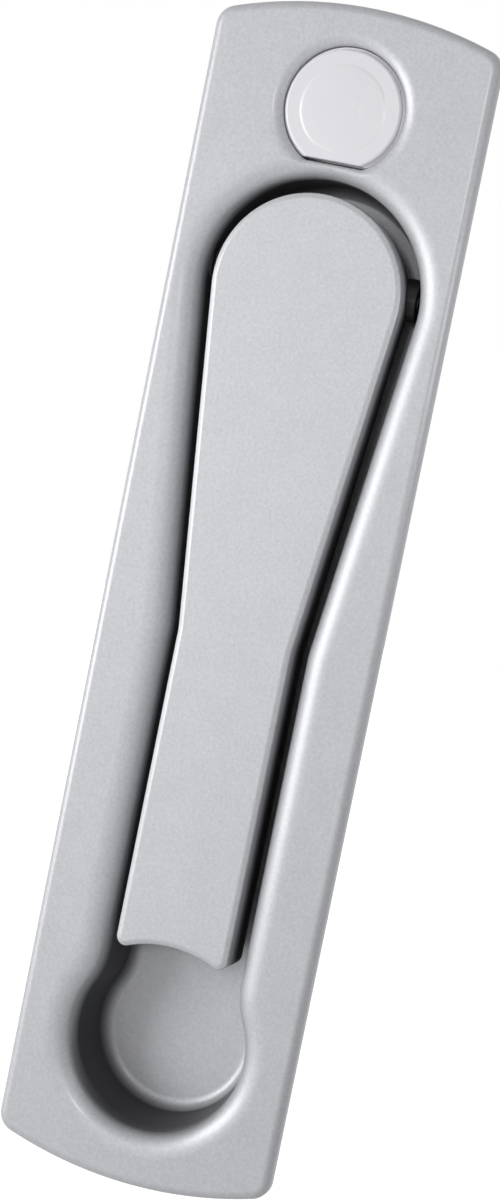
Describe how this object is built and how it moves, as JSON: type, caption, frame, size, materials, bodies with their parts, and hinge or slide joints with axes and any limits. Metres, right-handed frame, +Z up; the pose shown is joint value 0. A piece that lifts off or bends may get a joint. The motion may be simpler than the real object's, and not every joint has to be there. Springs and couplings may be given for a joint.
{
  "type": "concealed cabinet handle",
  "caption": "Flush cabinet handle: bowed-end plate with a sunk tub and finger dish, a lever that lifts out on a cross pin, and a push button that draws a spring bolt behind the plate.",
  "frame": {"origin": "midway between the two fixing bosses, on their end faces behind the tub", "axes": "+Z up along the plate towards the button, +X across the plate, the face towards -Y, +Y into the cabinet"},
  "size_m": [0.0465, 0.0205, 0.1714],
  "materials": {
    "silver_paint": "satin silver paint over zinc casting",
    "white_plastic": "satin moulded plastic",
    "steel": "bright plated steel",
    "spring_steel": "drawn spring wire",
    "zinc_plate": "zinc plated steel sheet",
    "rubber": "matt black rubber",
    "black_acetal": "satin black acetal"
  },
  "bodies": {
    "housing": {"face_plate": "silver_paint", "door_gasket": "rubber", "hinge_pin": "steel", "stop_pads": "rubber", "button_springs": "spring_steel", "button_seat": "zinc_plate", "latch_case": "zinc_plate", "case_screws": "steel", "screw_washers": "steel", "bolt_liner": "black_acetal"},
    "lever": {"lever": "silver_paint", "lever_bush_left": "black_acetal", "lever_bush_right": "black_acetal", "lever_spring": "spring_steel"},
    "button": {"release_button": "white_plastic", "button_plunger": "zinc_plate"},
    "bolt": {"latch_bolt": "steel", "bolt_rod": "steel", "bolt_rod_clip": "spring_steel", "bolt_spring": "spring_steel"}
  },
  "joints": [
    {"name": "lever_lift", "type": "hinge", "parent": "housing", "child": "lever", "pos_m": [0, -0.0125, 0.047], "axis": [-1, 0, 0], "range_deg": [0, 45], "stiffness_Nm_per_rad": 0.05, "springref_deg": -11.46, "deforming": ["lever_spring"]},
    {"name": "button_press", "type": "slide", "parent": "housing", "child": "button", "axis": [0, 1, 0], "range_m": [0, 0.004], "stiffness_N_per_m": 800, "springref_m": -0.002, "deforming": ["button_springs"]},
    {"name": "bolt_slide", "type": "slide", "parent": "housing", "child": "bolt", "axis": [1, 0, 0], "range_m": [0, 0.006], "deforming": ["bolt_spring"]}
  ],
  "couplings": [
    {"joint": "bolt_slide", "follows": "button_press", "ratio": 1.5}
  ]
}
